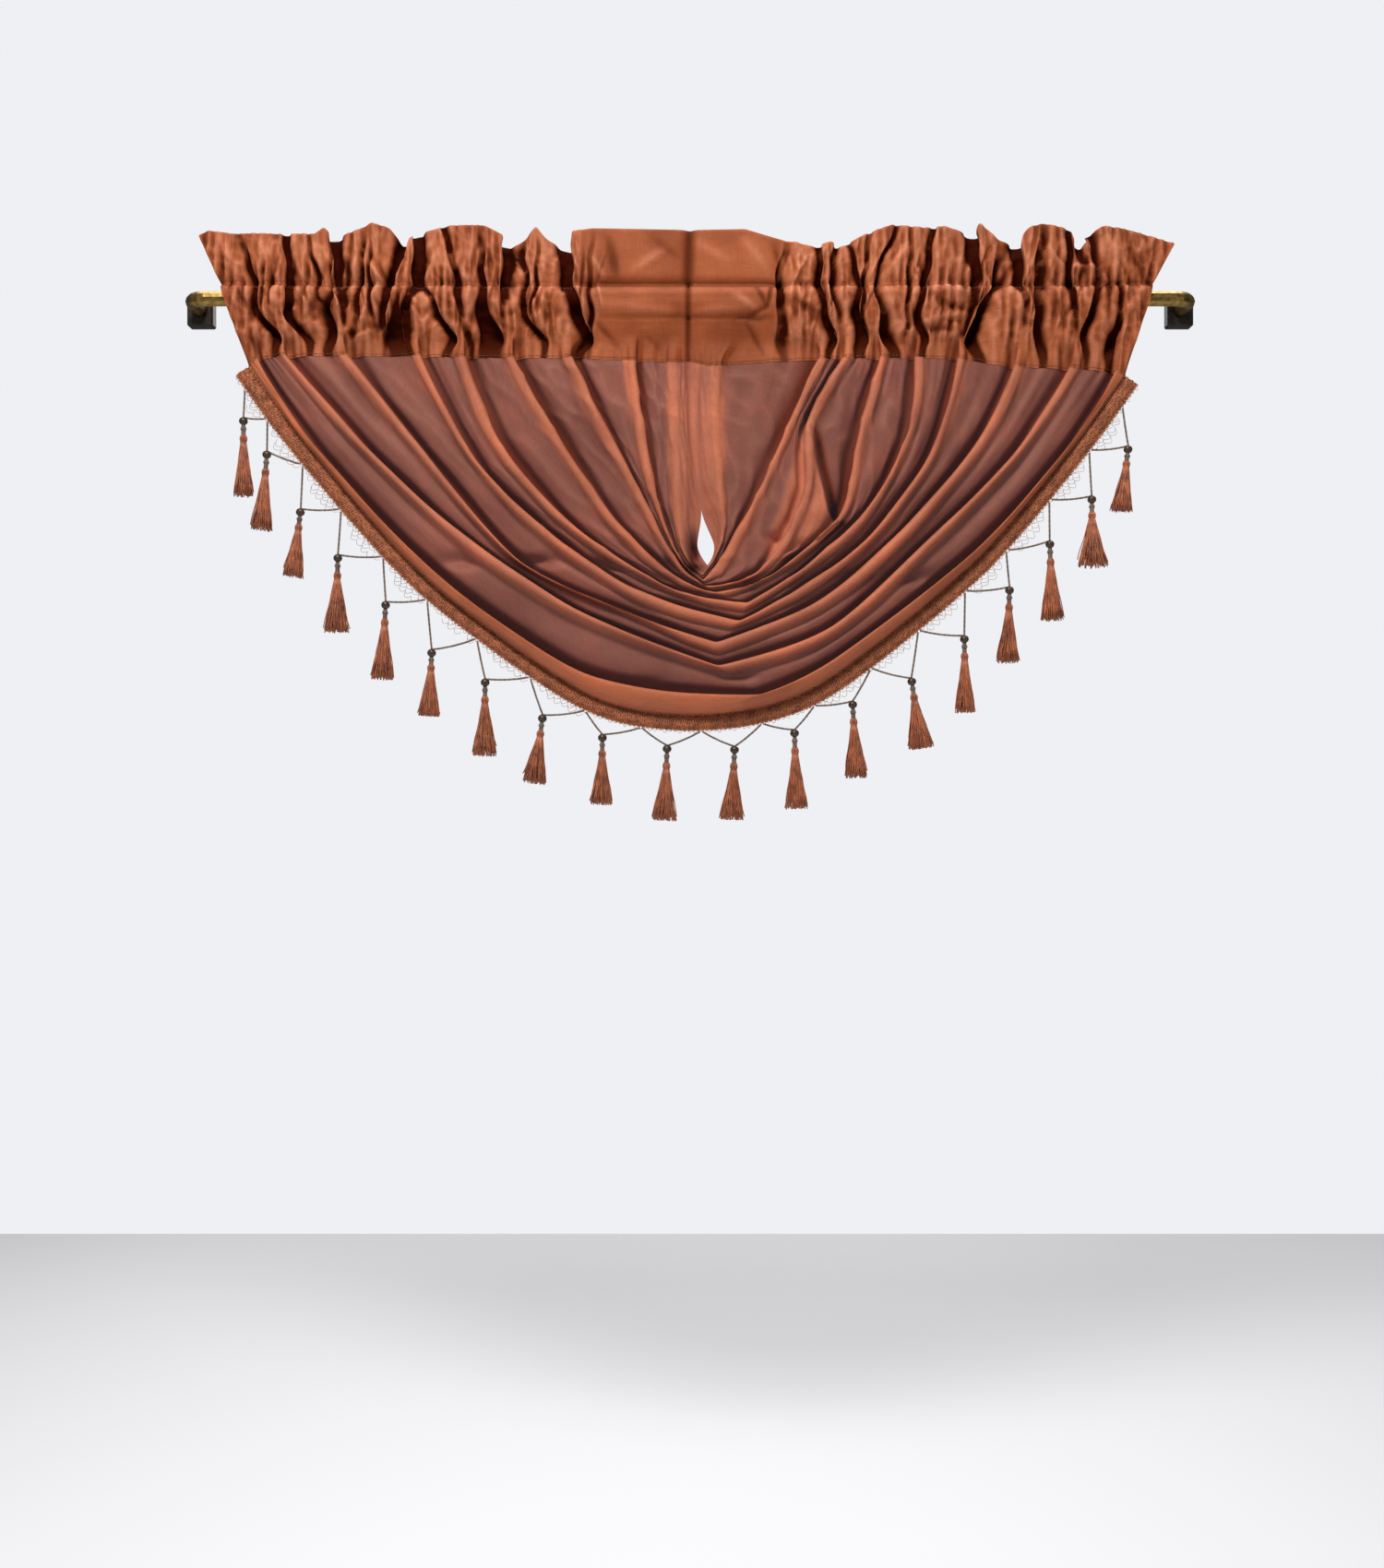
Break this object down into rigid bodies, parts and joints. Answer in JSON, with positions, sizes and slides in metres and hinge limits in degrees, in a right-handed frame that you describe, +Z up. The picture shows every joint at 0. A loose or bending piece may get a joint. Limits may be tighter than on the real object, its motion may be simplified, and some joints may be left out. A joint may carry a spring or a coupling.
{
  "type": "swag valance on curtain rod",
  "caption": "Half-round swag valance of thin taffeta with a gathered rod-pocket heading and a beaded tassel fringe, hung on a slim rod with returned ends and wall brackets.",
  "frame": {"origin": "on the wall plane, at mid-span, level with the rod's axis", "axes": "+X along the rod to the right seen from the room, +Y into the wall, +Z up"},
  "size_m": [1.011, 0.0861, 0.5844],
  "materials": {
    "cloth": "crisp taffeta with a soft sheen",
    "braid": "looped gimp braid",
    "tassel": "rayon yarn skirts with beads and twisted cord",
    "rod": "aged, satin",
    "bracket": "dark satin"
  },
  "bodies": {
    "root": {"swag_cloth": "cloth", "hem_braid": "braid", "rod": "rod", "bracket_left": "bracket", "bracket_right": "bracket", "tassel_01": "tassel", "tassel_02": "tassel", "tassel_03": "tassel", "tassel_04": "tassel", "tassel_05": "tassel", "tassel_06": "tassel", "tassel_07": "tassel", "tassel_08": "tassel", "tassel_09": "tassel", "tassel_10": "tassel", "tassel_11": "tassel", "tassel_12": "tassel", "tassel_13": "tassel", "tassel_14": "tassel", "tassel_15": "tassel", "tassel_16": "tassel", "tassel_17": "tassel", "tassel_18": "tassel", "tassel_19": "tassel"}
  },
  "joints": []
}
